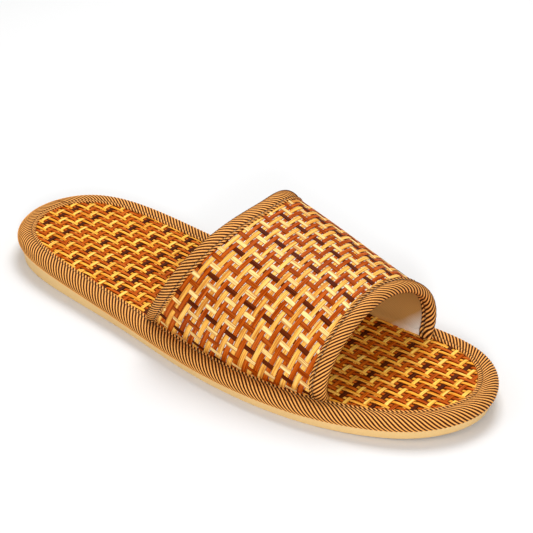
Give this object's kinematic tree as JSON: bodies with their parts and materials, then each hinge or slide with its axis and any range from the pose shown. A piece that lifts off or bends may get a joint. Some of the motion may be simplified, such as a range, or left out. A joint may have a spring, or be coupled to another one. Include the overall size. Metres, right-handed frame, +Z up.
{
  "type": "open-toe slipper",
  "caption": "Slip-on open-toe slipper for the right foot: flat foam sole, woven straw footbed and one broad woven vamp, edged with striped tape.",
  "frame": {"origin": "on the floor under the middle of the slipper's box", "axes": "+Z up, toe towards -Y, heel towards +Y, little-toe side towards -X, big-toe side towards +X"},
  "size_m": [0.094, 0.27, 0.0637],
  "materials": {
    "outsole_foam": "matt die-cut foam",
    "footbed_straw": "woven flat straw",
    "rim_tape": "striped woven tape",
    "vamp_straw": "woven flat straw, cloth lined",
    "throat_tape": "striped woven tape",
    "toe_tape": "striped woven tape"
  },
  "bodies": {
    "root": {"outsole": "outsole_foam", "footbed": "footbed_straw", "rim_binding": "rim_tape", "vamp": "vamp_straw", "throat_binding": "throat_tape", "toe_binding": "toe_tape"}
  },
  "joints": []
}
